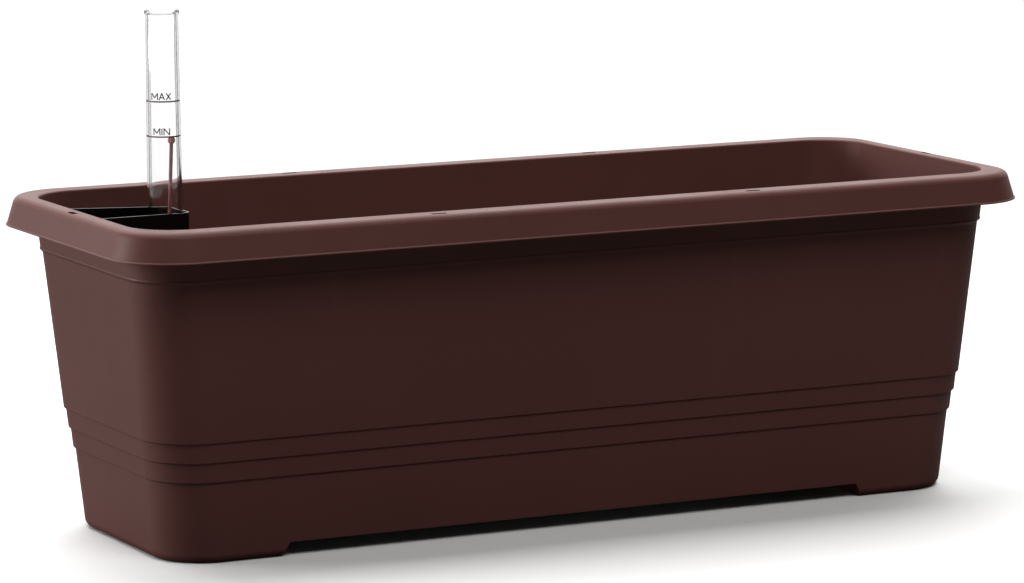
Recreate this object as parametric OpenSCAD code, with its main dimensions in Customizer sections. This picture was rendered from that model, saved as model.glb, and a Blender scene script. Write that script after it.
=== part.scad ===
// Self-watering balcony planter: a tapered box with a hollow rim, and inside it a
// raised soil deck on legs, textile wicks, a fill shaft and a float water gauge.
// X runs along the box, Y across it, Z up. The origin is on the floor, under the
// centre of the box. All sizes are in millimetres.

/* [Planter box] */
// Length over the rim skirt
rim_length = 500; // [490:1:510]
// Width over the rim skirt
rim_width = 200; // [196:1:206]
// Height of the rim above the floor
box_height = 166.5; // [164:0.5:170]
// Length of the side walls' outline, carried down to the floor
base_length = 440.8; // [438:0.4:442]
// Width of the side walls' outline, carried down to the floor
base_width = 137.2; // [136:0.4:139]
// How far each end wall leans out for each millimetre of height
end_draft = 0.092; // [0.088:0.001:0.094]
// How far each long wall leans out for each millimetre of height
side_draft = 0.076; // [0.072:0.001:0.08]
// Wall thickness
wall = 2.4; // [2:0.1:2.6]
// Corner radius of the side walls
corner_radius = 27.5; // [24:0.5:30]
// Radius of the edge between the walls and the underside
base_edge = 4.2; // [3:0.1:5]

/* [Rim] */
// Corner radius at the lower edge of the rim skirt
skirt_radius = 34; // [32:0.5:38]
// Height of the skirt's lower edge above the floor
skirt_bottom = 151.9; // [150:0.1:154]
// How far the skirt leans in for each millimetre of height
skirt_lean = 0.3; // [0.2:0.02:0.34]
// Thickness of the skirt and of the rim's top
skirt_wall = 2.2; // [1.8:0.1:2.6]
// Radius of the rim's outer top edge
rim_edge = 3; // [2:0.5:3.5]
// Radius of the rim's inner top edge
lip_edge = 1; // [0.5:0.25:1.5]
// Length of each slot in the rim's top
slot_length = 8.5; // [7:0.5:10]
// Width of each slot in the rim's top
slot_width = 3; // [2:0.2:3.6]
// Distance of the long sides' slots from the middle, along the box
slot_x = 87; // [60:1:120]
// Distance of the long sides' slots from the middle, across the box
slot_y = 90; // [88:0.5:91]
// Distance of the end slots from the middle, along the box
end_slot_x = 241.8; // [241:0.1:242.4]

/* [Bands and feet] */
// Number of raised bands around the lower walls
band_count = 3; // [1:1:3]
// Height of the lowest band's edge
band_bottom = 40.5; // [38:0.5:42]
// Height from one band edge to the next
band_pitch = 9.9; // [8:0.1:10]
// How far each band stands out from the one below
band_step = 0.8; // [0.5:0.1:0.9]
// Height of the collar's lower edge, under the rim
collar_bottom = 140.2; // [136:0.1:144]
// How far the collar stands out from the wall below it
collar_step = 0.7; // [0.4:0.1:0.9]
// Height of the feet, which is the height of the space between them
foot_height = 7.3; // [6:0.1:8]
// Distance of the feet's inner ends from the middle, at the floor
foot_start = 163; // [150:1:165]
// How far the feet's inner ends lean in over their height
foot_lean = 4; // [2:0.5:6]

/* [Soil deck] */
// Height of the deck's top above the floor
deck_top = 46; // [45:0.5:48]
// Thickness of the deck
deck_wall = 2.5; // [2:0.1:3]
// Length of the deck
deck_length = 444; // [442:0.5:444.5]
// Width of the deck
deck_width = 139; // [136:0.5:139.5]
// Height of the lip around the deck's edge
deck_lip = 7; // [4:0.5:8]
// Gap between the deck's feet and the floor of the box
leg_gap = 0.2; // [0.1:0.05:0.4]
// Width of each leg's crossed ribs
leg_span = 12; // [9:0.5:13]
// Thickness of the legs and of the stiffening ribs
rib_wall = 1.8; // [1.5:0.1:2.2]
// Length of each air slot in the deck
vent_length = 16; // [10:1:18]
// Width of each air slot in the deck
vent_width = 3; // [2:0.2:3.4]
// Number of air slots in each row
vent_count = 15; // [1:1:15]

/* [Fill shaft] */
// Height of the shaft's top above the floor
shaft_top = 164; // [160:0.5:164.5]
// Wall thickness of the shaft
shaft_wall = 1.1; // [1:0.05:1.2]
// Radius of the corner that holds the gauge tube
shaft_corner = 4.2; // [3.5:0.1:5]
// Width of the shaft at its end next to the gauge
shaft_width = 27; // [25:0.5:29]
// How far the far wall spreads for each millimetre towards the box's end
shaft_flare = 0.34; // [0.26:0.02:0.36]

/* [Water gauge] */
// Position of the gauge along the box
gauge_x = -193.4; // [-195:0.1:-192]
// Outer radius of the tube where it stands in the shaft
tube_radius = 8.75; // [8.5:0.05:8.8]
// Outer radius of the tube below its closed top
tube_top_radius = 8; // [7.6:0.1:8.2]
// Wall thickness of the tube
tube_wall = 1; // [0.8:0.05:1.2]
// Height of the tube's lower end above the floor
tube_bottom = 118; // [110:1:124]
// Height of the tube's closed top above the floor
tube_top = 264; // [258:1:270]
// Gap between the tube and the shaft around it
tube_gap = 0.15; // [0.1:0.05:0.2]

/* [Float] */
// Diameter of the float
float_diameter = 16; // [14:0.5:17]
// Height of the float
float_height = 22; // [18:1:24]
// Diameter of the indicator rod
rod_diameter = 1.8; // [1.4:0.1:2]
// Diameter of the ball at the rod's top
ball_diameter = 3.8; // [3.2:0.1:4.2]
// Height of the ball's centre when the reservoir is empty
ball_height = 199.3; // [198:0.1:201]
// Distance of the ball from the tube's axis
ball_offset = 3.7; // [3:0.1:3.8]
// Lean of the rod from upright, in degrees
rod_lean = 2.4; // [2:0.1:2.6]
// Direction of the rod's lean in plan, in degrees from the X axis
rod_direction = -26; // [-40:1:-10]

/* [Wicks] */
// Number of wicks
wick_count = 4; // [4:1:4]
// Position of the first wick along the box
wick_start = -110; // [-114:1:-106]
// Distance from one wick to the next
wick_pitch = 90; // [86:1:92]
// Width of each wick
wick_width = 20; // [16:1:20]
// Thickness of the textile
wick_thick = 2.5; // [2:0.1:2.6]
// Distance between the middles of a wick's two tails
wick_span = 28; // [26:0.5:29]

/* [Hidden] */

$fn = 64;
eps = 0.01;
brown = "#4a2f2c";
black = "#17171a";
clear = [0.9, 0.93, 0.93, 0.35];
red = "#7c1f26";

arc_steps = 8;                              // facets in each quarter of the box's corners
foot_slab = 2.2;                            // thickness of the box's floor
floor_top = foot_height + foot_slab;
floor_fillet = 4;
rim_under = box_height - 2.6;               // underside of the rim's top
slot_cut = 5;                               // depth of the cutters for the rim's slots
hollow_margin = base_edge + 4.7;            // wall left round the hollows in the feet
hollow_radius = 17;
hollow_rib = 3;
band_out = band_count * band_step;
collar_out = band_out + collar_step;

deck_under = deck_top - deck_wall;
deck_radius = 24;
deck_lip_wall = 1.6;

shaft_bottom = floor_top + 0.7;
shaft_near = -(tube_radius + tube_gap + shaft_wall);
shaft_right = gauge_x - shaft_near;
shaft_left_top = -234.6;                    // left wall at the shaft's top
shaft_left_bottom = -216.4;                 // left wall at the shaft's bottom
shaft_end = -240;                           // plan outline's far end, cut off by the left wall
shaft_gap = 0.35;                           // room for the shaft in the deck
flange_width = 3;
flange_thick = 2;
flange_end = -218.2;
port_places = [-212, -200, -188];           // water ports through the shaft's foot
port = [8, 70, 9];
port_bottom = shaft_bottom + 1.5;
float_stop = [4, shaft_width, 1.5];         // bar across the shaft's open lower end
guide_bottom = shaft_top - 16;              // ring that guides the gauge tube
guide_height = 8;

web_thick = 1.6;                            // seat under the gauge tube
web_top = tube_bottom - 0.1;
spigot_radius = tube_radius - tube_wall - 0.2;
spigot_wall = 1.4;
spigot_height = 6;

float_bottom = shaft_bottom + float_stop[2] + 0.5;
float_middle = float_bottom + float_height / 2;
socket_depth = 12;

// ---- shared shapes -------------------------------------------------------------

// Corner points of a rounded rectangle, row = [half length, half width, radius, z]
function ring(row) = [
    for (q = [0:3], i = [0:arc_steps])
        let (
            a = 90 * (q + i / arc_steps),
            side_x = (q == 0 || q == 3) ? 1 : -1,
            side_y = (q < 2) ? 1 : -1
        )
        [
            side_x * (row[0] - row[2]) + row[2] * cos(a),
            side_y * (row[1] - row[2]) + row[2] * sin(a),
            row[3]
        ]
];

// Closed skin through a list of rings, from the outside of the base to the inner floor
module ring_skin(rows) {
    n = 4 * (arc_steps + 1);
    last = len(rows) - 1;
    points = [for (row = rows) each ring(row)];
    sides = [
        for (k = [0:last - 1], j = [0:n - 1])
            let (m = (j + 1) % n)
            [k * n + j, (k + 1) * n + j, (k + 1) * n + m, k * n + m]
    ];
    base = [for (j = [0:n - 1]) j];
    inner = [for (j = [n - 1:-1:0]) last * n + j];
    polyhedron(points, concat([base], sides, [inner]), convexity = 6);
}

// Flat outline with round corners
module rounded_plate(half_x, half_y, radius) {
    square([2 * half_x, 2 * (half_y - radius)], center = true);
    square([2 * (half_x - radius), 2 * half_y], center = true);
    for (sx = [-1, 1], sy = [-1, 1])
        translate([sx * (half_x - radius), sy * (half_y - radius)])
            circle(r = radius);
}

// Slot with round ends, along X
module stadium(length, width) {
    square([length - width, width], center = true);
    for (s = [-1, 1])
        translate([s * (length - width) / 2, 0])
            circle(d = width);
}

function unit(v) = v / norm(v);

// Points of the arc that rounds corner q between its neighbours p and s
function fillet(p, q, s, radius, steps = 6) =
    let (
        u = unit(p - q),
        v = unit(s - q),
        half = acos(u * v) / 2,
        centre = q + unit(u + v) * radius / sin(half),
        first = q + u * radius / tan(half) - centre,
        final = q + v * radius / tan(half) - centre,
        a0 = atan2(first[1], first[0]),
        turn = atan2(final[1], final[0]) - a0,
        sweep = turn > 180 ? turn - 360 : (turn < -180 ? turn + 360 : turn)
    )
    [for (i = [0:steps]) centre + radius * [cos(a0 + sweep * i / steps), sin(a0 + sweep * i / steps)]];

// ---- planter box ---------------------------------------------------------------

// Ring on the side walls: z, distance out from the lowest wall, corner radius
function wall_row(z, out, radius) = [
    base_length / 2 + end_draft * z + out,
    base_width / 2 + side_draft * z + out,
    radius,
    z
];

// Ring on the rim skirt: z, distance in from its outer face
function skirt_row(z, inset) =
    let (back = skirt_lean * (z - skirt_bottom) + inset)
    [rim_length / 2 - back, rim_width / 2 - back, skirt_radius - back, z];

function band_z(k) = band_bottom + k * band_pitch;

outer_rows = concat(
    [
        for (a = [0:22.5:90])
            let (inset = base_edge * (1 - sin(a)))
            wall_row(base_edge * (1 - cos(a)), -inset, corner_radius - inset)
    ],
    [for (k = [0:band_count - 1], s = [k, k + 1]) wall_row(band_z(k), s * band_step, corner_radius)],
    [for (s = [band_out, collar_out]) wall_row(collar_bottom, s, corner_radius)],
    [wall_row(rim_under, collar_out, corner_radius)]
);

rim_rows = concat(
    [skirt_row(rim_under, skirt_wall), skirt_row(skirt_bottom, skirt_wall)],
    [skirt_row(skirt_bottom, 0)],
    [
        for (a = [0:22.5:90])
            skirt_row(box_height - rim_edge * (1 - sin(a)), rim_edge * (1 - cos(a)))
    ],
    [
        for (a = [90:-30:0])
            let (out = collar_out - wall + lip_edge * (1 - cos(a)))
            wall_row(box_height - lip_edge * (1 - sin(a)), out, corner_radius - wall)
    ]
);

inner_rows = concat(
    [for (s = [collar_out, band_out]) wall_row(collar_bottom, s - wall, corner_radius - wall)],
    [
        for (k = [band_count - 1:-1:0], s = [k + 1, k])
            wall_row(band_z(k), s * band_step - wall, corner_radius - wall)
    ],
    [
        for (a = [0:22.5:90])
            let (inset = wall + floor_fillet * (1 - cos(a)))
            wall_row(floor_top + floor_fillet * (1 - sin(a)), -inset, corner_radius - inset)
    ]
);

// Space between the two feet, open to the front and the back
module foot_space() {
    rotate([90, 0, 0])
        linear_extrude(rim_width, center = true)
            polygon([
                [-foot_start, -eps],
                [-foot_start + foot_lean, foot_height],
                [foot_start - foot_lean, foot_height],
                [foot_start, -eps]
            ]);
}

// Hollows under one foot, open below, with two ribs left across them
module foot_hollow(side) {
    inner_x = foot_start + foot_lean;
    outer_x = base_length / 2 - hollow_margin;
    half_y = base_width / 2 - hollow_margin;
    straight_x = outer_x - hollow_radius;
    translate([0, 0, -1])
        linear_extrude(foot_height + 1)
            scale([side, 1])
                difference() {
                    union() {
                        translate([inner_x, -half_y])
                            square([straight_x - inner_x, 2 * half_y]);
                        translate([inner_x, hollow_radius - half_y])
                            square([outer_x - inner_x, 2 * (half_y - hollow_radius)]);
                        for (sy = [-1, 1])
                            translate([straight_x, sy * (half_y - hollow_radius)])
                                circle(r = hollow_radius);
                    }
                    for (sy = [-1, 1])
                        translate([inner_x - 1, sy * half_y / 3 - hollow_rib / 2])
                            square([outer_x, hollow_rib]);
                }
}

module planter_box() {
    color(brown)
        difference() {
            ring_skin(concat(outer_rows, rim_rows, inner_rows));
            foot_space();
            for (sx = [-1, 1])
                foot_hollow(sx);
            for (sx = [-1, 1], sy = [-1, 1])
                translate([sx * slot_x, sy * slot_y, rim_under - 1])
                    linear_extrude(slot_cut)
                        stadium(slot_length, slot_width);
            for (sx = [-1, 1])
                translate([sx * end_slot_x, 0, rim_under - 1])
                    linear_extrude(slot_cut)
                        rotate(90)
                            stadium(slot_length, slot_width);
        }
}

// ---- soil deck -----------------------------------------------------------------

leg_columns = [-150, -60, 30, 120, 204];
leg_places = concat(
    [for (x = leg_columns, y = [-38, 38]) [x, y]],
    [[-200, -45], [-200, 54]]
);
vent_rows = [-57, -47, -29, 29, 47, 57];
vent_start = -150;
vent_pitch = 24;
deck_rib = [380, rib_wall, 5];              // stiffening ribs under the deck
deck_rib_start = -170;
deck_rib_y = 21;

module leg() {
    height = deck_under - floor_top - leg_gap + eps;
    translate([-leg_span / 2, -rib_wall / 2, floor_top + leg_gap])
        cube([leg_span, rib_wall, height]);
    translate([-rib_wall / 2, -leg_span / 2, floor_top + leg_gap])
        cube([rib_wall, leg_span, height]);
}

module deck_plate() {
    translate([0, 0, deck_under])
        linear_extrude(deck_wall)
            rounded_plate(deck_length / 2, deck_width / 2, deck_radius);
    translate([0, 0, deck_top - eps])
        linear_extrude(deck_lip)
            difference() {
                rounded_plate(deck_length / 2, deck_width / 2, deck_radius);
                rounded_plate(
                    deck_length / 2 - deck_lip_wall,
                    deck_width / 2 - deck_lip_wall,
                    deck_radius - deck_lip_wall
                );
            }
}

module separator() {
    color(black)
        difference() {
            union() {
                deck_plate();
                for (place = leg_places)
                    translate([place[0], place[1], 0])
                        leg();
                for (side = [-1, 1])
                    translate([deck_rib_start, side * deck_rib_y - rib_wall / 2, deck_under - deck_rib[2]])
                        cube(deck_rib + [0, 0, eps]);
            }
            translate([0, 0, floor_top])
                linear_extrude(deck_top)
                    polygon(shaft_outline(-shaft_gap));
            for (i = [0:wick_count - 1], side = [-1, 1])
                translate([wick_start + i * wick_pitch, side * wick_span / 2, deck_top - deck_wall / 2])
                    cube([wick_width + 2, wick_thick + 0.9, deck_wall + 2], center = true);
            for (i = [0:vent_count - 1], y = vent_rows)
                translate([vent_start + i * vent_pitch, y, deck_top - deck_wall / 2])
                    cube([vent_length, vent_width, deck_wall + 2], center = true);
        }
}

// ---- fill shaft ----------------------------------------------------------------

// Shaft outline in plan, set in by inset
function shaft_outline(inset) =
    let (
        near = shaft_near + inset,
        right = shaft_right - inset,
        back = shaft_near + shaft_width - inset * sqrt(1 + shaft_flare * shaft_flare),
        near_left = [shaft_end, near],
        near_right = [right, near],
        far_right = [right, back + shaft_flare * inset],
        far_left = [shaft_end, back + shaft_flare * (shaft_right - shaft_end)]
    )
    concat(
        [near_left],
        fillet(near_left, near_right, far_right, shaft_corner - inset),
        fillet(near_right, far_right, far_left, shaft_corner - inset),
        [far_left]
    );

// Solid inside the shaft's outline set in by inset, carried on by over past both ends
module shaft_core(inset, over = 0) {
    slope = (shaft_left_top - shaft_left_bottom) / (shaft_top - shaft_bottom);
    intersection() {
        translate([0, 0, shaft_bottom - over])
            linear_extrude(shaft_top - shaft_bottom + 2 * over)
                polygon(shaft_outline(inset));
        rotate([90, 0, 0])
            linear_extrude(rim_width, center = true)
                polygon([
                    [shaft_left_bottom + inset - slope * over, shaft_bottom - over],
                    [0, shaft_bottom - over],
                    [0, shaft_top + over],
                    [shaft_left_top + inset + slope * over, shaft_top + over]
                ]);
    }
}

// Collar that rests on the deck, left off where the box's end wall is close
module shaft_flange() {
    translate([0, 0, deck_top])
        linear_extrude(flange_thick)
            intersection() {
                polygon(shaft_outline(-flange_width));
                translate([flange_end, -rim_width / 2])
                    square(rim_width);
            }
}

// Seat and spigot that the gauge tube stands on, across the shaft's inner corner
module gauge_seat() {
    seat_half = 10;
    translate([0, 0, web_top - web_thick])
        linear_extrude(web_thick)
            intersection() {
                polygon(shaft_outline(shaft_wall / 2));
                translate([gauge_x - seat_half, seat_half - rim_width])
                    square(rim_width);
            }
    translate([gauge_x, 0, web_top - web_thick])
        cylinder(r = spigot_radius, h = web_thick + spigot_height);
}

// Ring in the shaft's mouth that keeps the gauge tube upright
module gauge_guide() {
    intersection() {
        translate([gauge_x, 0, guide_bottom])
            cylinder(r = tube_radius + tube_gap + shaft_wall, h = guide_height);
        shaft_core(shaft_wall / 2);
    }
}

module fill_shaft() {
    color(black)
        difference() {
            union() {
                difference() {
                    union() {
                        shaft_core(0);
                        shaft_flange();
                    }
                    shaft_core(shaft_wall, 2);
                }
                gauge_seat();
                gauge_guide();
                translate([gauge_x - 5, shaft_near + eps, shaft_bottom])
                    cube(float_stop);
            }
            translate([gauge_x, 0, web_top - web_thick - 1])
                cylinder(r = spigot_radius - spigot_wall, h = web_thick + spigot_height + 2);
            translate([gauge_x, 0, guide_bottom - 1])
                cylinder(r = tube_radius + tube_gap, h = shaft_top - guide_bottom + 2);
            for (x = port_places)
                translate([x - port[0] / 2, shaft_near - shaft_wall, port_bottom])
                    cube(port);
        }
}

// ---- water gauge ---------------------------------------------------------------

module gauge_tube() {
    bead = 1.1;
    bead_out = 0.6;
    shoulder = tube_top - 2 * bead;
    taper_start = shaft_top + 1;
    color(clear)
        translate([gauge_x, 0, 0])
            rotate_extrude()
                polygon(concat(
                    [
                        [tube_radius - tube_wall, tube_bottom],
                        [tube_radius, tube_bottom],
                        [tube_radius, taper_start],
                        [tube_top_radius, shoulder - bead_out],
                        [tube_top_radius + bead_out, shoulder]
                    ],
                    [
                        for (a = [0:15:90])
                            [
                                tube_top_radius + bead_out - bead * (1 - cos(a)),
                                tube_top - bead * (1 - sin(a))
                            ]
                    ],
                    [
                        [0, tube_top],
                        [0, tube_top - tube_wall],
                        [tube_top_radius - tube_wall - 1, tube_top - tube_wall],
                        [tube_top_radius - tube_wall, tube_top - tube_wall - 1],
                        [tube_radius - tube_wall, taper_start]
                    ]
                ));
}

// ---- float ---------------------------------------------------------------------

// Distance of the rod from the tube's axis at height z
function rod_offset(z) = ball_offset - (ball_height - z) * tan(rod_lean);

// Point on the rod's centre line at height z
function rod_point(z) = [
    gauge_x + rod_offset(z) * cos(rod_direction),
    rod_offset(z) * sin(rod_direction),
    z
];

// Round bar along the rod's centre line between two heights
module rod_bar(low, high, diameter) {
    translate(rod_point(low))
        rotate([0, rod_lean, rod_direction])
            cylinder(d = diameter, h = (high - low) / cos(rod_lean));
}

module float() {
    edge = 1.5;
    half = float_diameter / 2;
    middle = rod_point(float_middle);
    color("white")
        difference() {
            translate([middle[0], middle[1], float_bottom])
                rotate_extrude()
                    polygon([
                        [0, 0],
                        [half - edge, 0],
                        [half, edge],
                        [half, float_height - edge],
                        [half - edge, float_height],
                        [0, float_height]
                    ]);
            rod_bar(
                float_bottom + float_height - socket_depth,
                float_bottom + float_height + 1,
                rod_diameter + 0.1
            );
        }
}

module indicator_rod() {
    color(red) {
        rod_bar(float_bottom + float_height - socket_depth + 0.2, ball_height, rod_diameter);
        translate(rod_point(ball_height))
            sphere(d = ball_diameter);
    }
}

// ---- wicks ---------------------------------------------------------------------

// Strip laid over the deck with both tails hanging through it to the floor
module wick(index) {
    outer = (wick_span + wick_thick) / 2;
    inner = (wick_span - wick_thick) / 2;
    bottom = floor_top + 1.5;               // the tails end just above the floor
    rest = deck_top + 0.1;
    top = rest + wick_thick;
    bend = 3.2;
    color("white")
        translate([wick_start + (index - 1) * wick_pitch, 0, 0])
            rotate([90, 0, 90])
                linear_extrude(wick_width, center = true)
                    polygon(concat(
                        [[-inner, bottom], [-inner, rest], [inner, rest], [inner, bottom], [outer, bottom]],
                        fillet([outer, bottom], [outer, top], [-outer, top], bend),
                        fillet([outer, top], [-outer, top], [-outer, bottom], bend),
                        [[-outer, bottom]]
                    ));
}

planter_box();
separator();
fill_shaft();
gauge_tube();
float();
indicator_rod();
for (i = [1:wick_count])
    wick(i);
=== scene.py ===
from math import asin, cos, hypot, pi, radians, sin, tan

import bpy
from mathutils import Matrix, Vector, noise


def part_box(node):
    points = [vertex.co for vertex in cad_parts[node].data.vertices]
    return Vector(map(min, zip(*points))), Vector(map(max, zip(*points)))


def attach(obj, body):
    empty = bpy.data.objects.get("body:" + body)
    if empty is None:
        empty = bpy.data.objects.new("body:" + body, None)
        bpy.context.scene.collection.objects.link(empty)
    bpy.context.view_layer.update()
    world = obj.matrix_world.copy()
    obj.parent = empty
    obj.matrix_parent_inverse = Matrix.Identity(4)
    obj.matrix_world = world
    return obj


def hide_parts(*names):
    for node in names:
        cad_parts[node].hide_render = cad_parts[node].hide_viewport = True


# A self-watering balcony planter. Shapes are written in millimetres, as in the CAD
# source, and every mesh is scaled by MM as it is made. X runs along the box, Y across
# it and Z up, from the floor under the centre of the box.

MM = 0.001

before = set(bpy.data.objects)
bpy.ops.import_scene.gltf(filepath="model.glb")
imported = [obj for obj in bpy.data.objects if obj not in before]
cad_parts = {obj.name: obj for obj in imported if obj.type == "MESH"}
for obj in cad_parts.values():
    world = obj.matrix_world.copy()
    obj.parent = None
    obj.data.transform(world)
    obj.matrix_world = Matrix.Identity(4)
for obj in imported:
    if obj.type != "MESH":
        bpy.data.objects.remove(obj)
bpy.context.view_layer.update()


def in_mm(node):
    """Lowest and highest corner of a CAD node, in millimetres."""
    low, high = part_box(node)
    return [v / MM for v in low], [v / MM for v in high]


# ---- sizes, from the CAD frame and the CAD source ---------------------------------

tub_low, tub_high = in_mm("planter_box")
tube_low, tube_high = in_mm("gauge_tube")
rod_low, rod_high = in_mm("indicator_rod")
float_low, float_high = in_mm("float")

rim_length = tub_high[0] - tub_low[0]
rim_width = tub_high[1] - tub_low[1]
box_height = tub_high[2]
base_length = 440.8
base_width = 137.2
end_draft = 0.092
side_draft = 0.076
wall = 2.4
corner_radius = 27.5
base_edge = 4.2

skirt_radius = 34
skirt_bottom = 151.9
skirt_lean = 0.3
skirt_wall = 2.2
skirt_edge = 0.3                 # rounding of the skirt's lower edge
ridge_height = 0.6               # small ridge round the skirt's lower edge
ridge_slope = 0.45               # height over which the ridge runs back to the skirt
ridge_out = 0.4
rim_edge = 3
lip_edge = 1
rim_under = box_height - 2.6     # underside of the rim's top
slot_length = 8.5
slot_width = 3
slot_x = 87
slot_y = 90
end_slot_x = 241.8

band_heights = [40.5, 50.4, 60.3]
band_step = 0.8
collar_bottom = 140.2
collar_step = 0.7
collar_lip = 0.3                 # how far the collar's rounded lower edge stands out
band_out = len(band_heights) * band_step
collar_out = band_out + collar_step

foot_height = 7.3
foot_start = 163
foot_lean = 4
floor_top = 9.5
floor_fillet = 4
hollow_margin = base_edge + 4.7  # from a foot's outer face to the hollows under it
hollow_radius = 17
hollow_rib = 3                   # thickness of the ribs between the hollows

tube_x = (tube_low[0] + tube_high[0]) / 2
tube_radius = (tube_high[0] - tube_low[0]) / 2
tube_top_radius = 8
tube_wall = 1
tube_straight = 165              # height at which the tube starts to taper
bead = 1.1                       # half the height of the bead round the closed top
bead_out = 0.6

rod_radius = 0.9
ball_radius = 1.9
ball_height = rod_high[2] - ball_radius
ball_offset = 3.7
rod_lean = radians(2.4)
rod_direction = radians(-26)

wick_nodes = ["wick_1", "wick_2", "wick_3", "wick_4"]
wick_thick = 2.4
wick_bend = 1.95                 # radius of the strip's middle line at its two bends
wick_side_gap = 0.3              # the felt is this much inside its CAD solid at each side,
wick_face_gap = 1.25             # its middle line this far in from the solid's faces,
wick_end_gap = 0.2               # and its ends this far above the solid's


# ---- mesh helpers -----------------------------------------------------------------


def mesh_object(name, points, faces, sharp=35):
    """A smooth-shaded mesh object from points in millimetres."""
    mesh = bpy.data.meshes.new(name)
    mesh.from_pydata([Vector(p) * MM for p in points], [], faces)
    mesh.validate()
    mesh.update()
    mesh.shade_smooth()
    mesh.set_sharp_from_angle(angle=radians(sharp))
    piece = bpy.data.objects.new(name, mesh)
    bpy.context.scene.collection.objects.link(piece)
    return piece


def skin(rings):
    """Points and faces of a skin through closed rings, capped at both ends."""
    n = len(rings[0])
    last = len(rings) - 1
    points = [p for ring in rings for p in ring]
    faces = [
        (k * n + j, k * n + (j + 1) % n, (k + 1) * n + (j + 1) % n, (k + 1) * n + j)
        for k in range(last)
        for j in range(n)
    ]
    faces.append(tuple(reversed(range(n))))
    faces.append(tuple(last * n + j for j in range(n)))
    return points, faces


def revolve(profile, steps, closed):
    """Points and faces of a profile of (radius, z) pairs turned round the Z axis.

    A point on the axis is made once, so its faces are triangles.
    """
    points, rows = [], []
    for r, z in profile:
        if r == 0:
            rows.append([len(points)] * steps)
            points.append((0, 0, z))
        else:
            rows.append(list(range(len(points), len(points) + steps)))
            for j in range(steps):
                a = 2 * pi * j / steps
                points.append((r * cos(a), r * sin(a), z))
    faces = []
    pairs = list(zip(rows, rows[1:]))
    if closed:
        pairs.append((rows[-1], rows[0]))
    for low, high in pairs:
        for j in range(steps):
            m = (j + 1) % steps
            loop = []
            for v in (low[j], low[m], high[m], high[j]):
                if v not in loop:
                    loop.append(v)
            if len(loop) > 2:
                faces.append(tuple(loop))
    return points, faces


def prism(outline, low, high):
    """Points and faces of a flat outline carried from one height to another."""
    return skin([[(x, y, z) for x, y in outline] for z in (low, high)])


def arc(centre, radius, start, end, steps):
    """Points of an arc, with its angles in degrees."""
    turns = [radians(start + (end - start) * i / steps) for i in range(steps + 1)]
    return [(centre[0] + radius * cos(a), centre[1] + radius * sin(a)) for a in turns]


def quarter(steps):
    """Angles of a quarter turn in radians."""
    return [pi / 2 * i / steps for i in range(steps + 1)]


def cut(piece, cutters):
    """Takes the cutters out of a piece for good."""
    for cutter in cutters:
        modifier = piece.modifiers.new("cut", "BOOLEAN")
        modifier.operation = "DIFFERENCE"
        modifier.solver = "EXACT"
        modifier.object = cutter
    bpy.context.view_layer.update()
    result = piece.evaluated_get(bpy.context.evaluated_depsgraph_get())
    mesh = bpy.data.meshes.new_from_object(result)
    old = piece.data
    piece.modifiers.clear()
    piece.data = mesh
    bpy.data.meshes.remove(old)
    for cutter in cutters:
        bpy.data.objects.remove(cutter)
    mesh.shade_smooth()
    mesh.set_sharp_from_angle(angle=radians(30))


def flat_shading(piece, weight):
    """Lets large faces decide the shading at their edges."""
    shade = piece.modifiers.new("flat shading", "WEIGHTED_NORMAL")
    shade.weight = weight
    shade.keep_sharp = True


def soften(piece, width, merge=False):
    """Rounds a piece's sharp edges and keeps its flat faces flat in shading.

    With merge, the triangles of each flat face are joined first.
    """
    if merge:
        flat = piece.modifiers.new("flat faces", "DECIMATE")
        flat.decimate_type = "DISSOLVE"
        flat.angle_limit = radians(1)
    bevel = piece.modifiers.new("soft edges", "BEVEL")
    bevel.width = width * MM
    bevel.segments = 2
    bevel.limit_method = "ANGLE"
    bevel.angle_limit = radians(30)
    flat_shading(piece, 100)


# ---- materials --------------------------------------------------------------------


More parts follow.
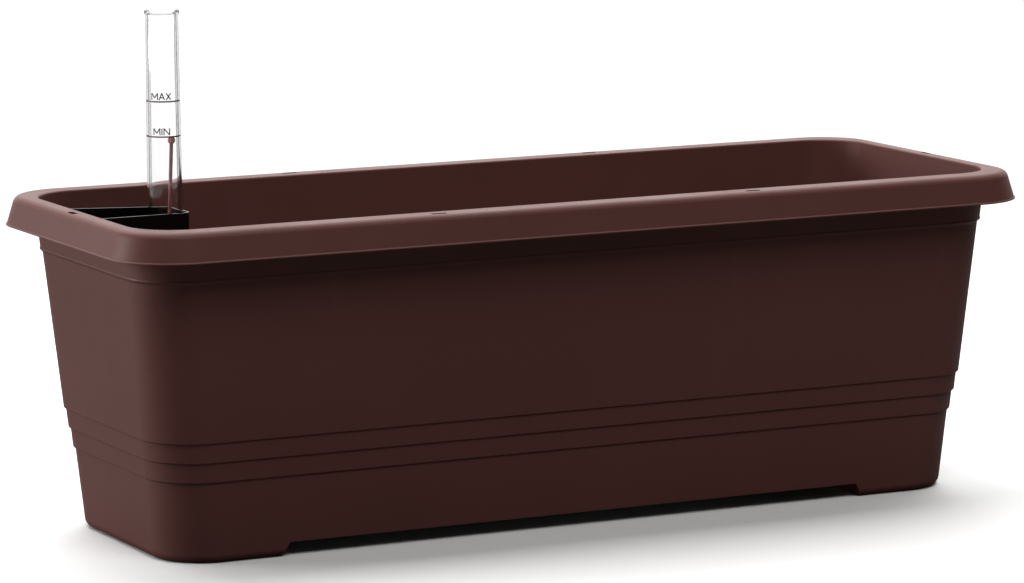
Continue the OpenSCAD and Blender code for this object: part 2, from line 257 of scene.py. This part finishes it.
class Recipe:
    """A procedural material whose patterns are laid out in metres on the object."""

    def __init__(self, name, **settings):
        self.material = bpy.data.materials.new(name)
        self.material.use_nodes = True
        self.tree = self.material.node_tree
        self.shader = self.tree.nodes["Principled BSDF"]
        self.place = self.add("ShaderNodeTexCoord").outputs["Object"]
        for socket, value in settings.items():
            self.shader.inputs[socket.replace("_", " ")].default_value = value

    def add(self, kind, **inputs):
        """New node, with a value or a link for each named input."""
        node = self.tree.nodes.new(kind)
        for socket, value in inputs.items():
            self.plug(value, node.inputs[socket.replace("_", " ")])
        return node

    def plug(self, value, socket):
        """Links a socket's value, or sets a plain one."""
        if isinstance(value, bpy.types.NodeSocket):
            self.tree.links.new(value, socket)
        else:
            socket.default_value = value

    def stretch(self, x, y, z):
        """The object's place, scaled along each axis, so that a pattern is drawn out."""
        mapping = self.add("ShaderNodeMapping", Vector=self.place)
        mapping.inputs["Scale"].default_value = (x, y, z)
        return mapping.outputs["Vector"]

    def noise(self, scale, detail=2, place=None, distortion=0.0):
        return self.add(
            "ShaderNodeTexNoise",
            Vector=place or self.place,
            Scale=scale,
            Detail=detail,
            Distortion=distortion,
        ).outputs["Fac"]

    def cells(self, scale):
        node = self.add("ShaderNodeTexVoronoi", Vector=self.place, Scale=scale)
        return node.outputs["Distance"]

    def spread(self, value, low, high, to_low=0.0, to_high=1.0):
        """Maps low..high to to_low..to_high, and clamps outside it."""
        node = self.add("ShaderNodeMapRange", Value=value)
        node.inputs["From Min"].default_value = low
        node.inputs["From Max"].default_value = high
        node.inputs["To Min"].default_value = to_low
        node.inputs["To Max"].default_value = to_high
        return node.outputs["Result"]

    def math(self, operation, a, b):
        node = self.add("ShaderNodeMath")
        node.operation = operation
        self.plug(a, node.inputs[0])
        self.plug(b, node.inputs[1])
        return node.outputs["Value"]

    def blend(self, share, a, b):
        node = self.add("ShaderNodeMix")
        node.data_type = "RGBA"
        # inputs 6 and 7 and output 2 are the ones of this node's colour mode
        for value, socket in ((share, 0), (a, 6), (b, 7)):
            if isinstance(value, tuple):
                value = (*value, 1.0)
            self.plug(value, node.inputs[socket])
        return node.outputs[2]

    def bump(self, height, depth, over=None):
        """Relief with its depth in millimetres, laid over another one if it's given."""
        node = self.add("ShaderNodeBump", Height=height, Strength=1.0)
        node.inputs["Distance"].default_value = depth * MM
        if over:
            self.plug(over, node.inputs["Normal"])
        return node.outputs["Normal"]

    def finish(self, colour, roughness, normal):
        self.plug(colour, self.shader.inputs["Base Color"])
        self.plug(roughness, self.shader.inputs["Roughness"])
        self.plug(normal, self.shader.inputs["Normal"])
        return self.material


def moulded(name, colour, pale, rough, grain, scuff, specular):
    """Moulded plastic: fine grain, slow colour drift and drawn-out scuffs."""
    mix = Recipe(name, Specular_IOR_Level=specular)
    drift = mix.spread(mix.noise(7, 3), 0.35, 0.65)
    lighter = tuple(c * 1.3 for c in colour)
    body = mix.blend(mix.math("MULTIPLY", drift, 0.35), colour, lighter)
    marks = mix.noise(60, 6, mix.stretch(1, 1, 0.22), 0.4)
    marks = mix.spread(marks, 0.61, 0.72)
    body = mix.blend(mix.math("MULTIPLY", marks, scuff), body, pale)
    gloss = mix.spread(mix.noise(28, 4), 0.3, 0.7, rough - 0.04, rough + 0.05)
    gloss = mix.math("ADD", gloss, mix.math("MULTIPLY", marks, 0.04))
    relief = mix.bump(mix.noise(1500, 2), grain)
    relief = mix.bump(mix.noise(90, 2), 0.004, relief)
    return mix.finish(body, gloss, relief)


def clear_plastic():
    """Clear polished tube: faint draw lines, painted dark shade along its flanks, a hint of haze
    and a cloudy top.
    """
    mix = Recipe(
        "clear_polished",
        Transmission_Weight=1.0,
        IOR=1.47,
        Specular_IOR_Level=0.5,
    )
    lines = mix.noise(420, 2, mix.stretch(1, 1, 0.04))
    tint_with_painted_shade = mix.blend(mix.spread(lines, 0.3, 0.7), (0.96, 0.97, 0.97), (0.99, 0.99, 0.99))
    # Painted shade: a narrow band of dark grey where the surface turns away from view, along the
    # tube's flanks.
    painted_shade_facing = mix.add("ShaderNodeLayerWeight", Blend=0.5).outputs["Facing"]
    rise = mix.spread(painted_shade_facing, 0.38, 0.47)
    painted_shade_fade = mix.spread(painted_shade_facing, 0.49, 0.6, 1.0, 0.3)
    tint_with_painted_shade = mix.blend(mix.math("MULTIPLY", rise, painted_shade_fade), tint_with_painted_shade, (0.08, 0.08, 0.085))
    height = mix.add("ShaderNodeSeparateXYZ", Vector=mix.place).outputs["Z"]
    sealed = mix.spread(height, (tube_high[2] - 2.6) * MM, (tube_high[2] - 1.8) * MM)
    tint_with_painted_shade = mix.blend(mix.math("MULTIPLY", sealed, 0.8), tint_with_painted_shade, (0.72, 0.73, 0.73))
    haze = mix.spread(mix.noise(130, 3), 0.35, 0.75, 0.015, 0.06)
    haze = mix.math("ADD", haze, mix.math("MULTIPLY", sealed, 0.12))
    return mix.finish(tint_with_painted_shade, haze, mix.bump(lines, 0.004))


def glossy_red():
    """Glossy moulded rod, a little uneven in colour and gloss."""
    mix = Recipe("glossy_red", Specular_IOR_Level=0.5, Subsurface_Weight=0.08)
    mix.shader.inputs["Subsurface Radius"].default_value = (0.002, 0.0005, 0.0005)
    shift = mix.spread(mix.noise(160, 3), 0.35, 0.65)
    colour = mix.blend(shift, (0.27, 0.065, 0.07), (0.34, 0.09, 0.095))
    gloss = mix.spread(mix.noise(300, 2), 0.3, 0.7, 0.34, 0.46)
    return mix.finish(colour, gloss, mix.bump(mix.noise(700, 2), 0.008))


def foam():
    """Closed-cell foam: fine round cells, a few deeper pores, with painted shade in the cell
    middles and the pores.
    """
    mix = Recipe("closed_cell_foam", Specular_IOR_Level=0.3)
    cells = mix.cells(1100)
    pores = mix.spread(mix.noise(420, 3), 0.62, 0.74)
    # Painted shade: the cell middles and the pores, which lie low in the relief, are painted
    # darker.
    tone = mix.blend(mix.spread(cells, 0.1, 0.6), (0.4, 0.39, 0.36), (0.62, 0.61, 0.58))
    tone = mix.blend(mix.math("MULTIPLY", pores, 0.5), tone, (0.26, 0.25, 0.23))
    relief = mix.bump(cells, 0.12)
    relief = mix.bump(mix.math("MULTIPLY", pores, -1.0), 0.15, relief)
    return mix.finish(tone, 0.88, relief)


def felt():
    """Needled felt: crossing fibres with painted shade between them, soft lumps and slightly
    dirty patches.
    """
    mix = Recipe("needled_felt", Sheen_Weight=0.45, Specular_IOR_Level=0.2)
    mix.shader.inputs["Sheen Roughness"].default_value = 0.6
    along = mix.noise(900, 4, mix.stretch(1, 1, 0.12), 1.5)
    across = mix.noise(900, 4, mix.stretch(0.15, 1, 1), 1.5)
    fibres = mix.math("ADD", along, across)
    lumps = mix.noise(140, 3)
    dirt = mix.spread(mix.noise(45, 4), 0.5, 0.75)
    # Painted shade: the felt is painted darker where the fibres lie low in the relief, between
    # them.
    shade = mix.spread(fibres, 0.75, 1.25)
    tone = mix.blend(shade, (0.2, 0.19, 0.165), (0.42, 0.405, 0.365))
    tone = mix.blend(mix.math("MULTIPLY", dirt, 0.4), tone, (0.19, 0.165, 0.12))
    relief = mix.bump(fibres, 0.22)
    return mix.finish(tone, 0.95, mix.bump(lumps, 0.35, relief))


def ink(name, colour):
    """Printed ink: slightly uneven cover."""
    mix = Recipe(name, Specular_IOR_Level=0.4)
    cover = mix.spread(mix.noise(2200, 3), 0.35, 0.75)
    thin = tuple(c * 1.7 for c in colour)
    tone = mix.blend(mix.math("MULTIPLY", cover, 0.4), colour, thin)
    gloss = mix.spread(mix.noise(900, 2), 0.3, 0.7, 0.35, 0.5)
    return mix.finish(tone, gloss, mix.bump(mix.noise(1600, 2), 0.01))


def seamless_floor():
    """Pale studio floor that fades into an even white surround.

    It is dark to the rays that bounce off the planter, so it throws little light back,
    but rays that pass through the clear tube still see it pale.
    """
    mix = Recipe("studio_floor", Specular_IOR_Level=0.12)
    cloud = mix.spread(mix.noise(2.5, 4), 0.3, 0.7)
    tone = mix.blend(cloud, (0.9, 0.92, 0.94), (0.92, 0.94, 0.96))
    path = mix.add("ShaderNodeLightPath").outputs
    mirrored = mix.math("SUBTRACT", path["Is Glossy Ray"], path["Is Transmission Ray"])
    bounced = mix.math("MAXIMUM", path["Is Diffuse Ray"], mirrored)
    away = mix.add("ShaderNodeVectorMath")
    away.operation = "LENGTH"
    mix.plug(mix.place, away.inputs[0])
    far = mix.spread(away.outputs["Value"], 0.5, 1.3)
    tone = mix.blend(far, tone, (0.02, 0.02, 0.02))
    tone = mix.blend(bounced, tone, (0.13, 0.13, 0.13))
    mix.plug((1, 1, 1, 1), mix.shader.inputs["Emission Color"])
    glow = mix.math("MULTIPLY", far, mix.math("SUBTRACT", 1.0, bounced))
    mix.plug(glow, mix.shader.inputs["Emission Strength"])
    return mix.finish(tone, 0.75, mix.bump(mix.noise(220, 2), 0.05))


brown = moulded(
    "brown_moulded",
    colour=(0.11, 0.0425, 0.0375),
    pale=(0.34, 0.2, 0.18),
    rough=0.46,
    grain=0.03,
    scuff=0.022,
    specular=0.15,
)
black = moulded(
    "black_moulded",
    colour=(0.0022, 0.0022, 0.0026),
    pale=(0.06, 0.06, 0.06),
    rough=0.3,
    grain=0.015,
    scuff=0.03,
    specular=0.14,
)
needled = felt()

# ---- planter box ------------------------------------------------------------------

CORNER_STEPS = 20


def ring(row):
    """Corner points of a rounded rectangle, row = (half length, half width, radius, z)."""
    half_x, half_y, radius, z = row
    points = []
    for q in range(4):
        side_x = 1 if q in (0, 3) else -1
        side_y = 1 if q < 2 else -1
        for i in range(CORNER_STEPS + 1):
            a = pi / 2 * (q + i / CORNER_STEPS)
            points.append((
                side_x * (half_x - radius) + radius * cos(a),
                side_y * (half_y - radius) + radius * sin(a),
                z,
            ))
    return points


def wall_row(z, out, radius):
    """Ring on the side walls, out from the lowest wall."""
    half_x = base_length / 2 + end_draft * z + out
    half_y = base_width / 2 + side_draft * z + out
    return (half_x, half_y, radius, z)


def skirt_row(z, inset):
    """Ring on the rim skirt, in from its outer face."""
    back = skirt_lean * (z - skirt_bottom) + inset
    return (rim_length / 2 - back, rim_width / 2 - back, skirt_radius - back, z)


def ledge(z, low_out, step, inset, radius):
    """Rows of a small rounded step in a wall, from low_out to low_out + step."""
    nose = min(0.6, step)
    rows = [(z - 0.45, 0.0), (z - 0.1, 0.1), (z + 0.04, step - nose + 0.06)]
    rows += [
        (z + 0.04 + nose * (1 - cos(a)), step - nose + nose * sin(a)) for a in quarter(5)[1:]
    ]
    return [wall_row(h, low_out + out - inset, radius) for h, out in rows]


def collar_edge():
    """Rows of the collar's lower edge: a slope out to a rounded lip, then the collar."""
    full = collar_step + collar_lip
    rows = [
        (-1.1, 0.0),
        (-0.2, full * 0.55),
        (0.3, collar_step + collar_lip * 0.85),
        (0.55, full),
        (0.9, collar_step + collar_lip * 0.6),
        (1.4, collar_step),
    ]
    return [wall_row(collar_bottom + z, band_out + out, corner_radius) for z, out in rows]


def tub_rows():
    """Rows up the outside of the box, over the rim and down the inside to the floor."""
    outer = [
        wall_row(
            base_edge * (1 - cos(a)),
            -base_edge * (1 - sin(a)),
            corner_radius - base_edge * (1 - sin(a)),
        )
        for a in quarter(8)
    ]
    for k, z in enumerate(band_heights):
        outer += ledge(z, k * band_step, band_step, 0, corner_radius)
    outer += collar_edge()
    outer.append(wall_row(rim_under, collar_out, corner_radius))

    rim = [skirt_row(rim_under, skirt_wall)]
    rim += [
        skirt_row(
            skirt_bottom + skirt_edge * (1 - sin(a)), skirt_wall - skirt_edge * (1 - cos(a))
        )
        for a in quarter(5)
    ]
    rim += [
        skirt_row(skirt_bottom + skirt_edge * (1 - cos(a)), skirt_edge * (1 - sin(a)))
        for a in quarter(5)
    ]
    rim += [
        skirt_row(skirt_bottom + ridge_height, 0),
        skirt_row(skirt_bottom + ridge_height + ridge_slope, ridge_out),
    ]
    rim += [
        skirt_row(box_height - rim_edge * (1 - sin(a)), ridge_out + rim_edge * (1 - cos(a)))
        for a in quarter(10)
    ]
    inner_radius = corner_radius - wall
    rim += [
        wall_row(
            box_height - lip_edge * (1 - sin(a)),
            collar_out - wall + lip_edge * (1 - cos(a)),
            inner_radius,
        )
        for a in reversed(quarter(5))
    ]

    steps = [(z, k * band_step, band_step) for k, z in enumerate(band_heights)]
    steps.append((collar_bottom, band_out, collar_step))
    inner = []
    for step in reversed(steps):
        inner += reversed(ledge(*step, wall, inner_radius))
    for a in quarter(8):
        inset = wall + floor_fillet * (1 - cos(a))
        inner.append(
            wall_row(floor_top + floor_fillet * (1 - sin(a)), -inset, corner_radius - inset)
        )
    return outer + rim + inner


def stadium(length, width, centre, along_x):
    """Outline of a slot with round ends."""
    reach = (length - width) / 2
    radius = width / 2
    outline = arc((reach, 0), radius, -90, 90, 16) + arc((-reach, 0), radius, 90, 270, 16)
    if not along_x:
        outline = [(-y, x) for x, y in outline]
    return [(centre[0] + x, centre[1] + y) for x, y in outline]


def hollow_outlines(side):
    """The three hollows under one foot, between its ribs."""
    inner = foot_start + foot_lean
    outer = base_length / 2 - hollow_margin
    half = base_width / 2 - hollow_margin
    low = half / 3 + hollow_rib / 2
    high = half / 3 - hollow_rib / 2
    mid = [(inner, -high), (outer, -high), (outer, high), (inner, high)]
    round_end = arc((outer - hollow_radius, half - hollow_radius), hollow_radius, 0, 90, 10)
    top = [(inner, low), (outer, low)] + round_end + [(inner, half)]
    bottom = [(x, -y) for x, y in reversed(top)]
    outlines = [mid, top, bottom]
    if side < 0:
        outlines = [[(-x, y) for x, y in reversed(o)] for o in outlines]
    return outlines


def planter_box():
    """The box with its rim, less the space between its feet, their hollows and the slots."""
    tub = mesh_object("tub", *skin([ring(row) for row in tub_rows()]))
    foot_end = foot_start + foot_lean / foot_height
    side = [
        (-foot_end, -1),
        (foot_end, -1),
        (foot_start - foot_lean, foot_height),
        (foot_lean - foot_start, foot_height),
    ]
    shapes = [skin([[(x, y, z) for x, z in side] for y in (rim_width, -rim_width)])]
    for sx in (1, -1):
        shapes += [prism(outline, -1, foot_height) for outline in hollow_outlines(sx)]
        slots = [stadium(slot_length, slot_width, (sx * end_slot_x, 0), False)]
        for sy in (1, -1):
            slots.append(stadium(slot_length, slot_width, (sx * slot_x, sy * slot_y), True))
        shapes += [prism(outline, rim_under - 1, box_height + 1) for outline in slots]
    cut(tub, [mesh_object("cutter", *shape) for shape in shapes])
    return tub


tub = planter_box()
soften(tub, 0.12)
tub.data.materials.append(brown)
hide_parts("planter_box")
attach(tub, "box")

# ---- insert: deck and shaft keep their CAD shape, with soft edges ------------------

for node, width in (("separator", 0.35), ("fill_shaft", 0.3)):
    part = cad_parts[node]
    soften(part, width, merge=True)
    part.data.materials.clear()
    part.data.materials.append(black)


TAIL_STEPS = 14
FLAT_STEPS = 12
WIDTH_STEPS = 12


def wick(node):
    """Felt strip laid over the deck, with both tails hanging through its slots."""
    low, high = in_mm(node)
    middle_x = (low[0] + high[0]) / 2
    half_width = (high[0] - low[0]) / 2 - wick_side_gap
    half_span = (high[1] - low[1]) / 2 - wick_face_gap
    top = high[2] - wick_face_gap
    bottom = low[2] + wick_end_gap
    flat = half_span - wick_bend
    bend_z = top - wick_bend
    tail = bend_z - bottom
    spots = [(-half_span, bottom + tail * i / TAIL_STEPS) for i in range(TAIL_STEPS)]
    spots += arc((-flat, bend_z), wick_bend, 180, 90, 6)
    spots += [(-flat + 2 * flat * i / FLAT_STEPS, top) for i in range(1, FLAT_STEPS)]
    spots += arc((flat, bend_z), wick_bend, 90, 0, 6)
    spots += [(half_span, bend_z - tail * i / TAIL_STEPS) for i in range(1, TAIL_STEPS + 1)]
    section = []
    for sign in (1, -1):
        for i in range(WIDTH_STEPS + 1):
            x = sign * half_width * (1 - 2 * i / WIDTH_STEPS)
            thin = 0.72 if i in (0, WIDTH_STEPS) else 1
            section.append((x * 0.96, sign * wick_thick / 2 * thin))
        section.append((-sign * half_width, 0))
    rings = []
    for k, (y, z) in enumerate(spots):
        before, after = spots[max(k - 1, 0)], spots[min(k + 1, len(spots) - 1)]
        length = hypot(after[0] - before[0], after[1] - before[1])
        ty, tz = (after[0] - before[0]) / length, (after[1] - before[1]) / length
        row = []
        for x, depth in section:
            wave = noise.noise(Vector((x * 0.35, k * 0.4, middle_x))) * 0.12
            fray = noise.noise(Vector((k * 0.9, depth, middle_x + x))) * 0.25
            row.append((
                middle_x + x + (fray if abs(x) > half_width * 0.9 else 0),
                y - tz * depth * (1 + wave),
                z + ty * depth * (1 + wave),
            ))
        rings.append(row)
    strip = mesh_object("felt_" + node, *skin(rings), sharp=80)
    detail = strip.modifiers.new("round", "SUBSURF")
    detail.levels = detail.render_levels = 1
    strip.data.materials.append(needled)
    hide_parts(node)
    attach(strip, "insert")


for node in wick_nodes:
    wick(node)

# ---- water gauge ------------------------------------------------------------------

tube_bottom, tube_top = tube_low[2], tube_high[2]
shoulder = tube_top - 2 * bead


def tube_profile():
    """Outer wall, bead and closed top, then back down the bore."""
    wide, slim = tube_radius, tube_top_radius
    bead_r = slim + bead_out
    ease = 0.5                   # rounding under the bead
    outer = [(wide - 0.25, tube_bottom), (wide, tube_bottom + 0.25), (wide, tube_straight)]
    rise = shoulder - bead_out - tube_straight
    outer += [(wide + (slim - wide) * i / 6, tube_straight + rise * i / 6) for i in range(1, 7)]
    outer += [(bead_r - ease * 0.3, shoulder - ease * 0.2), (bead_r, shoulder + ease)]
    crown = [
        (bead_r - bead * (1 - cos(a)), tube_top - bead * (1 - sin(a))) for a in quarter(6)
    ]
    top = [(3, tube_top), (0, tube_top), (0, tube_top - tube_wall), (3, tube_top - tube_wall)]
    soft = 1.2                   # rounding at the bore's closed end
    bore_top = slim - tube_wall
    turn = [
        (bore_top - soft * (1 - sin(a)), tube_top - tube_wall - soft * (1 - cos(a)))
        for a in quarter(5)
    ]
    bore = wide - tube_wall
    down = [(bore, tube_straight), (bore, tube_bottom + 0.25), (bore + 0.25, tube_bottom)]
    return outer + crown + top + turn + down


points, faces = revolve(tube_profile(), 96, closed=True)
tube = mesh_object("gauge_tube_clear", [(x + tube_x, y, z) for x, y, z in points], faces, 50)
flat_shading(tube, 50)
tube.data.materials.append(clear_plastic())
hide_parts("gauge_tube")
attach(tube, "gauge")

MARK_TURN = radians(-119.5)      # direction that the printed marks face
MAX_LINE = 219.1                 # heights of the two printed lines
MIN_LINE = 201.8
WORD_GAP = 0.9                   # from the middle of a line up to the word on it
LINE_HEIGHT = 0.7
LETTER_HEIGHT = 3.3
LETTER_GAP = 0.8
STROKE = 0.52
LIFT = 0.02                      # the print stands this far off the tube
PRINT = 0.05                     # thickness of the print

# Each letter's width in millimetres, and its strokes on a unit square
LETTERS = {
    "M": (3.2, [[(0, 0), (0, 1), (0.5, 0.3), (1, 1), (1, 0)]]),
    "A": (2.6, [[(0, 0), (0.5, 1), (1, 0)], [(0.2, 0.34), (0.8, 0.34)]]),
    "X": (2.4, [[(0, 0), (1, 1)], [(0, 1), (1, 0)]]),
    "I": (0.4, [[(0.5, 0), (0.5, 1)]]),
    "N": (2.8, [[(0, 0), (0, 1), (1, 0), (1, 1)]]),
}


def outer_radius(z):
    """Outer radius of the tube at height z."""
    share = (z - tube_straight) / (shoulder - bead_out - tube_straight)
    return tube_radius + (tube_top_radius - tube_radius) * min(max(share, 0), 1)


def wrapped(x, z, height):
    """Point on the tube, x along its surface from the marks' middle."""
    r = outer_radius(z) + height
    a = MARK_TURN + x / outer_radius(z)
    return (tube_x + r * cos(a), r * sin(a), z)


def ribbon(start, end, width):
    """Points and faces of one printed bar between two places on the tube."""
    length = hypot(end[0] - start[0], end[1] - start[1])
    ux, uz = (end[0] - start[0]) / length, (end[1] - start[1]) / length
    count = max(2, int(length / 0.5) + 1)
    rings = []
    for i in range(count + 1):
        along = length * i / count
        cx, cz = start[0] + ux * along, start[1] + uz * along
        half, top = width / 2, LIFT + PRINT
        corners = [(-half, LIFT), (half, LIFT), (half, top), (-half, top)]
        rings.append([wrapped(cx - uz * w, cz + ux * w, h) for w, h in corners])
    return skin(rings)


def printed(name, bars, material):
    """One piece from many printed bars."""
    points, faces = [], []
    for start, end, width in bars:
        more_points, more_faces = ribbon(start, end, width)
        faces += [tuple(v + len(points) for v in f) for f in more_faces]
        points += more_points
    piece = mesh_object(name, points, faces)
    piece.data.materials.append(material)
    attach(piece, "gauge")


def word_bars(word, base):
    """Strokes of a word that stands on height base."""
    bars = []
    whole = sum(LETTERS[c][0] for c in word) + LETTER_GAP * (len(word) - 1)
    start = -whole / 2
    for letter in word:
        width, paths = LETTERS[letter]
        for path in paths:
            spots = [(start + x * width, base + z * LETTER_HEIGHT) for x, z in path]
            bars += [(a, b, STROKE) for a, b in zip(spots, spots[1:])]
        start += width + LETTER_GAP
    return bars


line_reach = 0.47 * pi * tube_top_radius      # each line runs almost half way round
line_bars = [((-line_reach, z), (line_reach, z), LINE_HEIGHT) for z in (MAX_LINE, MIN_LINE)]
printed("gauge_lines", line_bars, ink("line_ink", (0.1, 0.02, 0.022)))
letter_bars = word_bars("MAX", MAX_LINE + WORD_GAP) + word_bars("MIN", MIN_LINE + WORD_GAP)
printed("gauge_letters", letter_bars, ink("letter_ink", (0.03, 0.03, 0.033)))

# ---- float and rod ----------------------------------------------------------------


def rod_offset(z):
    """Distance of the rod's centre line from the tube's axis at height z."""
    return ball_offset - (ball_height - z) * tan(rod_lean)


def rod_point(z):
    """Place of the rod's centre line at height z."""
    return Vector((
        tube_x + rod_offset(z) * cos(rod_direction),
        rod_offset(z) * sin(rod_direction),
        z,
    ))


def leaning(points, foot):
    """Points made round the Z axis, leaned over to the rod's line."""
    turn = Matrix.Rotation(rod_direction, 3, "Z") @ Matrix.Rotation(rod_lean, 3, "Y")
    return [foot + turn @ Vector(p) for p in points]


rod_foot = rod_point(rod_low[2] + rod_radius * sin(rod_lean))
rod_length = (ball_height - rod_foot.z) / cos(rod_lean)
neck = asin(rod_radius * 1.15 / ball_radius)  # where the ball starts, from its lowest point
rod_profile = [(0, 0), (rod_radius - 0.2, 0), (rod_radius, 0.2)]
rod_profile += [(rod_radius, rod_length * i / 12) for i in range(1, 12)]
rod_profile += [(rod_radius, rod_length - ball_radius * cos(neck) - 0.25)]
rod_profile += [
    (ball_radius * sin(pi - a), rod_length + ball_radius * cos(pi - a))
    for a in [neck + (pi - neck) * i / 14 for i in range(14)]
]
rod_profile.append((0, rod_length + ball_radius))
points, faces = revolve(rod_profile, 40, closed=False)
rod = mesh_object("rod_and_ball", leaning(points, rod_foot), faces, 60)
rod.data.materials.append(glossy_red())
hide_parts("indicator_rod")
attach(rod, "float")

float_radius = (float_high[0] - float_low[0]) / 2
float_height = float_high[2] - float_low[2]
float_edge = 1.4
socket_radius = rod_radius + 0.05             # the rod is glued into the float's socket
socket_depth = 12


def float_profile():
    """Rounded foot, side and rounded top, then down the rod's socket."""
    bottom = [
        (float_radius - float_edge * (1 - sin(a)), float_edge * (1 - cos(a))) for a in quarter(6)
    ]
    top = [
        (float_radius - float_edge * (1 - cos(a)), float_height - float_edge * (1 - sin(a)))
        for a in quarter(6)
    ]
    socket = [
        (socket_radius + 0.25, float_height),
        (socket_radius, float_height - 0.25),
        (socket_radius, float_height - socket_depth),
        (0, float_height - socket_depth),
    ]
    return [(0, 0)] + bottom + top + socket


points, faces = revolve(float_profile(), 64, closed=False)
middle = rod_point((float_low[2] + float_high[2]) / 2)
points = [(x + middle.x, y + middle.y, z + float_low[2]) for x, y, z in points]
bob = mesh_object("foam_float", points, faces, 50)
bob.data.materials.append(foam())
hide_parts("float")
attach(bob, "float")

# ---- studio -----------------------------------------------------------------------

FLOOR_REACH = 20000
FLOOR_DEPTH = 10
signs = [(-1, -1), (1, -1), (1, 1), (-1, 1)]
outline = [(x * FLOOR_REACH, y * FLOOR_REACH) for x, y in signs]
floor = mesh_object("studio_floor", *prism(outline, -FLOOR_DEPTH, 0))
floor.data.materials.append(seamless_floor())

WARM = (1.0, 0.97, 0.94)


def soft_box(name, place, target, size, power):
    """Square area light at place that faces target."""
    lamp = bpy.data.lights.new(name, "AREA")
    lamp.shape = "SQUARE"
    lamp.size = size
    lamp.energy = power
    lamp.color = WARM
    holder = bpy.data.objects.new(name, lamp)
    holder.location = place
    holder.rotation_euler = (Vector(target) - Vector(place)).to_track_quat("-Z", "Y").to_euler()
    bpy.context.scene.collection.objects.link(holder)


soft_box("overhead", (0.4, 1.7, 2.6), (0.4, 1.701, 0), 3.6, 180)
soft_box("front_top", (-0.2, -1.7, 2.3), (0, 0, 0.1), 1.5, 34)
soft_box("left_side", (-2.25, 1.3, 0.35), (-0.2, 0, 0.1), 1.4, 64)

# The world is white where the camera sees it. It lights the object from one broad side.
world = bpy.data.worlds.new("studio")
world.use_nodes = True
bpy.context.scene.world = world
sky = world.node_tree
background = sky.nodes["Background"]
direction = sky.nodes.new("ShaderNodeTexCoord").outputs["Generated"]
facing = sky.nodes.new("ShaderNodeVectorMath")
facing.operation = "DOT_PRODUCT"
facing.inputs[1].default_value = (0.42, 0.89, 0.15)
level = sky.nodes.new("ShaderNodeMapRange")
level.inputs["From Min"].default_value = 0.55
level.inputs["From Max"].default_value = 0.92
level.inputs["To Min"].default_value = 0.04
level.inputs["To Max"].default_value = 1.5
seen = sky.nodes.new("ShaderNodeLightPath").outputs["Is Camera Ray"]
backdrop = sky.nodes.new("ShaderNodeMath")
backdrop.operation = "MAXIMUM"
sky.links.new(direction, facing.inputs[0])
sky.links.new(facing.outputs["Value"], level.inputs["Value"])
sky.links.new(level.outputs["Result"], backdrop.inputs[0])
sky.links.new(seen, backdrop.inputs[1])
sky.links.new(backdrop.outputs["Value"], background.inputs["Strength"])
background.inputs["Color"].default_value = (1, 1, 1, 1)

# The camera stands where the photograph's stood, solved from its perspective.
CAMERA_PLACE = (-1.12022, -2.26571, 0.49113)
CAMERA_YAW = 0.457932            # towards +X from +Y
CAMERA_PITCH = 0.149145          # downwards
CAMERA_ROLL = -0.007557
camera_data = bpy.data.cameras.new("camera")
camera_data.sensor_width = 36
camera_data.lens = 176.06
camera_data.shift_y = -0.0026
camera_data.clip_end = 50
camera = bpy.data.objects.new("camera", camera_data)
camera.location = CAMERA_PLACE
camera.rotation_euler = (
    Matrix.Rotation(-CAMERA_YAW, 3, "Z")
    @ Matrix.Rotation(pi / 2 - CAMERA_PITCH, 3, "X")
    @ Matrix.Rotation(CAMERA_ROLL, 3, "Z")
).to_euler()
bpy.context.scene.collection.objects.link(camera)
bpy.context.scene.camera = camera
bpy.context.scene.view_settings.view_transform = "Standard"
